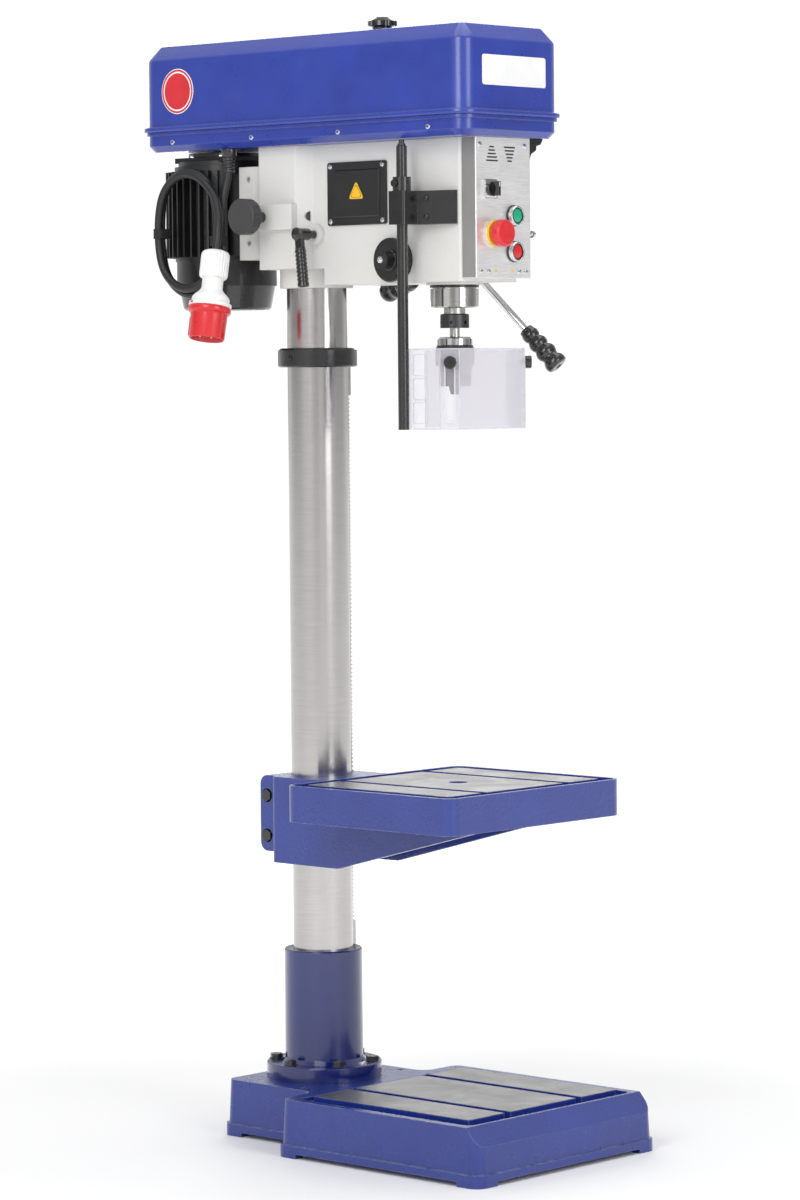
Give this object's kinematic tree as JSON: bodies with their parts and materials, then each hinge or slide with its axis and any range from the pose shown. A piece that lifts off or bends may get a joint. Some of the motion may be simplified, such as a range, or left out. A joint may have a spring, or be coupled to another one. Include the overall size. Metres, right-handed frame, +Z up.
{
  "type": "drill press",
  "caption": "Floor-standing pillar drill with a belt-driven head, rising table on a round column, three-arm feed and a clear chuck guard.",
  "frame": {"origin": "on the floor, at the middle of the machine's box in plan", "axes": "+Z up the column, -Y towards the operator, +X to the operator's right"},
  "size_m": [0.4052, 0.783, 1.697],
  "materials": {
    "blue": "blue gloss enamel over cast iron and sheet",
    "grey": "light grey textured paint",
    "black": "black paint",
    "steel": "ground and polished steel",
    "chrome": "bright plated",
    "dark_steel": "blackened steel",
    "panel": "fine brushed sheet",
    "alloy": "turned alloy",
    "rubber": "matt black",
    "black_plastic": "glossy black plastic",
    "grey_plastic": "dark grey plastic",
    "red_plastic": "red plastic",
    "green_plastic": "green plastic",
    "white_plastic": "white plastic",
    "clear": "clear polycarbonate"
  },
  "bodies": {
    "stand": {"base_casting": "blue", "column_socket": "blue", "socket_bolts": "black", "column_tube": "steel", "rack_ring": "black", "head_casting": "grey", "electrics_cover": "black", "control_panel": "panel", "cover_screws": "chrome", "switch_bezels": "chrome", "belt_tray": "blue", "idler_shaft": "steel", "drive_belts": "rubber", "guard_bracket": "black", "spring_drum": "black", "return_spring": "steel", "quill_seal": "black", "cord_gland": "rubber", "cord_lead": "rubber", "cord_coil": "rubber", "plug_body": "white_plastic", "plug_shroud": "red_plastic"},
    "rack_carrier": {"column_rack": "steel"},
    "table": {"table_casting": "blue", "clamp_bolts": "black"},
    "lift_gears": {"lift_gears": "steel"},
    "table_crank": {"table_crank": "steel"},
    "crank_grip": {"crank_grip": "black_plastic"},
    "selector": {"selector_knob": "black_plastic"},
    "start_button": {"start_button": "green_plastic"},
    "stop_button": {"stop_button": "red_plastic"},
    "estop_button": {"estop_button": "red_plastic"},
    "lid": {"belt_lid": "blue"},
    "lid_knob": {"lid_knob": "black_plastic"},
    "spindle_pulley": {"spindle_pulley": "alloy"},
    "idler_pulley": {"idler_pulley": "alloy"},
    "motor_carriage": {"motor_mount": "grey", "guide_rods": "steel", "motor_body": "black", "fan_cowl": "black"},
    "motor_rotor": {"motor_rotor": "steel", "motor_pulley": "alloy"},
    "lock_knob": {"lock_knob": "grey_plastic"},
    "tension_lever": {"tension_lever": "black_plastic"},
    "quill": {"quill": "steel", "spindle_bearings": "steel"},
    "spindle": {"spindle": "steel", "ejector_nut": "dark_steel", "chuck_arbor": "steel", "chuck_body": "chrome"},
    "chuck_sleeve": {"chuck_sleeve": "dark_steel"},
    "chuck_jaws": {"chuck_jaws": "dark_steel"},
    "feed": {"pinion_shaft": "steel", "feed_hub": "chrome", "feed_levers": "chrome", "feed_grips": "black_plastic"},
    "guard": {"guard_rod": "black", "guard_frame": "clear"},
    "shield": {"guard_shield": "clear", "shield_knobs": "black_plastic"}
  },
  "joints": [
    {"name": "table_swing", "type": "hinge", "parent": "stand", "child": "rack_carrier", "pos_m": [0, 0.1045, 0.5], "axis": [0, 0, 1], "range_deg": [-180, 180]},
    {"name": "table_lift", "type": "slide", "parent": "rack_carrier", "child": "table", "axis": [0, 0, 1], "range_m": [-0.12, 0.4]},
    {"name": "lift_gear_turn", "type": "hinge", "parent": "table", "child": "lift_gears", "pos_m": [0.06734, 0.09504, 0.488], "axis": [0.1392, 0.9903, 0], "range_deg": [-1915, 580]},
    {"name": "crank_turn", "type": "hinge", "parent": "table", "child": "table_crank", "pos_m": [0.10945, 0.10729, 0.4575], "axis": [0.9903, -0.1392, 0], "range_deg": [-11500, 38300]},
    {"name": "crank_grip_spin", "type": "hinge", "parent": "table_crank", "child": "crank_grip", "pos_m": [0.14098, 0.17355, 0.4575], "axis": [0.9903, -0.1392, 0], "continuous": true},
    {"name": "selector_turn", "type": "hinge", "parent": "stand", "child": "selector", "pos_m": [-0.032, -0.2748, 1.432], "axis": [0, -1, 0], "range_deg": [-45, 45]},
    {"name": "start_press", "type": "slide", "parent": "stand", "child": "start_button", "axis": [0, 1, 0], "range_m": [0, 0.004], "stiffness_N_per_m": 900},
    {"name": "stop_press", "type": "slide", "parent": "stand", "child": "stop_button", "axis": [0, 1, 0], "range_m": [0, 0.004], "stiffness_N_per_m": 900},
    {"name": "estop_press", "type": "slide", "parent": "stand", "child": "estop_button", "axis": [0, 1, 0], "range_m": [0, 0.0055]},
    {"name": "lid_open", "type": "hinge", "parent": "stand", "child": "lid", "pos_m": [0, 0.3835, 1.5388], "axis": [-1, 0, 0], "range_deg": [0, 75]},
    {"name": "lid_knob_turn", "type": "hinge", "parent": "lid", "child": "lid_knob", "pos_m": [0, -0.0365, 1.684], "axis": [0, 0, 1], "continuous": true},
    {"name": "spindle_spin", "type": "hinge", "parent": "quill", "child": "spindle", "pos_m": [0, -0.1775, 1.3], "axis": [0, 0, 1], "continuous": true},
    {"name": "spindle_pulley_spin", "type": "hinge", "parent": "stand", "child": "spindle_pulley", "pos_m": [0, -0.1775, 1.56], "axis": [0, 0, 1], "continuous": true},
    {"name": "idler_spin", "type": "hinge", "parent": "stand", "child": "idler_pulley", "pos_m": [0, 0.0445, 1.56], "axis": [0, 0, 1], "continuous": true},
    {"name": "motor_spin", "type": "hinge", "parent": "motor_carriage", "child": "motor_rotor", "pos_m": [0, 0.2975, 1.4], "axis": [0, 0, 1], "continuous": true},
    {"name": "quill_feed", "type": "slide", "parent": "stand", "child": "quill", "axis": [0, 0, -1], "range_m": [0, 0.12], "stiffness_N_per_m": 500, "springref_m": -0.4},
    {"name": "feed_turn", "type": "hinge", "parent": "stand", "child": "feed", "pos_m": [0, -0.118, 1.332], "axis": [1, 0, 0], "range_deg": [0, 237.2]},
    {"name": "chuck_sleeve_turn", "type": "hinge", "parent": "spindle", "child": "chuck_sleeve", "pos_m": [0, -0.1775, 1.18], "axis": [0, 0, 1], "range_deg": [0, 720]},
    {"name": "chuck_jaw_draw", "type": "slide", "parent": "spindle", "child": "chuck_jaws", "axis": [0, 0, 1], "range_m": [0, 0.01]},
    {"name": "guard_swing", "type": "hinge", "parent": "stand", "child": "guard", "pos_m": [-0.1, -0.1655, 1.2], "axis": [0, 0, -1], "range_deg": [0, 100]},
    {"name": "shield_drop", "type": "slide", "parent": "guard", "child": "shield", "axis": [0, 0, -1], "range_m": [0, 0.08]},
    {"name": "motor_slide", "type": "slide", "parent": "stand", "child": "motor_carriage", "axis": [0, 1, 0], "range_m": [0, 0.015], "deforming": ["drive_belts"]},
    {"name": "tension_turn", "type": "hinge", "parent": "stand", "child": "tension_lever", "pos_m": [-0.09, 0.0425, 1.374], "axis": [1, 0, 0], "range_deg": [0, 90.1]},
    {"name": "lock_turn", "type": "hinge", "parent": "stand", "child": "lock_knob", "pos_m": [-0.12, 0.1315, 1.402], "axis": [1, 0, 0], "range_deg": [0, 360]}
  ],
  "couplings": [
    {"joint": "lift_gear_turn", "follows": "table_lift", "rad_per_m": -83.333},
    {"joint": "crank_turn", "follows": "table_lift", "rad_per_m": 1666.7},
    {"joint": "spindle_pulley_spin", "follows": "spindle_spin", "ratio": 1},
    {"joint": "idler_spin", "follows": "spindle_spin", "ratio": 2.135},
    {"joint": "motor_spin", "follows": "spindle_spin", "ratio": 4.7836},
    {"joint": "feed_turn", "follows": "quill_feed", "rad_per_m": 34.483},
    {"joint": "chuck_jaw_draw", "follows": "chuck_sleeve_turn", "m_per_rad": 0.000795},
    {"joint": "tension_turn", "follows": "motor_slide", "rad_per_m": 104.72}
  ]
}
